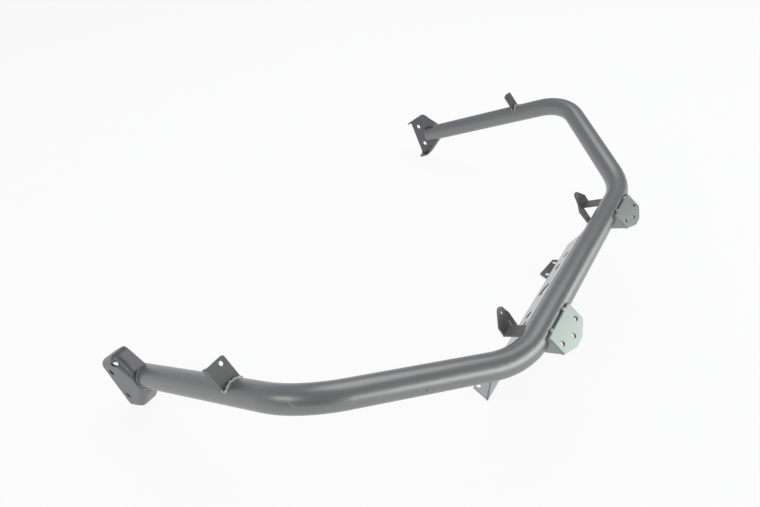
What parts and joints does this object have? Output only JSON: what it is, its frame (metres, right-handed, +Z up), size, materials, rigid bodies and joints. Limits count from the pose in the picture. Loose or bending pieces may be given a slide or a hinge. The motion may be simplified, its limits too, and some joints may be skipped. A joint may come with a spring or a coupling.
{
  "type": "atv front bumper",
  "caption": "Bent steel tube front bumper for an all-terrain vehicle, with bolt-on end brackets, arm tabs, sloping lamp brackets, frame ears and a lower front plate on two feet.",
  "frame": {"origin": "middle of the box on the floor, under the bumper", "axes": "+X to the vehicle's right, +Y to the rear, +Z up; it stands on its two low feet and the lower rear corners of the end brackets"},
  "size_m": [1.1728, 0.7676, 0.27],
  "materials": {
    "powder_coat": "satin dark grey powder coat",
    "weld_bead": "weld bead under the same coat"
  },
  "bodies": {
    "root": {"main_tube": "powder_coat", "end_bracket_left": "powder_coat", "end_bracket_right": "powder_coat", "end_bracket_weld_left": "weld_bead", "end_bracket_weld_right": "weld_bead", "arm_tab_left": "powder_coat", "arm_tab_right": "powder_coat", "arm_tab_weld_left": "weld_bead", "arm_tab_weld_right": "weld_bead", "lamp_bracket_left": "powder_coat", "lamp_bracket_right": "powder_coat", "lamp_weld_left": "weld_bead", "lamp_weld_right": "weld_bead", "front_plate": "powder_coat", "plate_weld_left": "weld_bead", "plate_weld_right": "weld_bead", "frame_ear_left": "powder_coat", "frame_ear_right": "powder_coat", "frame_ear_weld_left": "weld_bead", "frame_ear_weld_right": "weld_bead"}
  },
  "joints": []
}
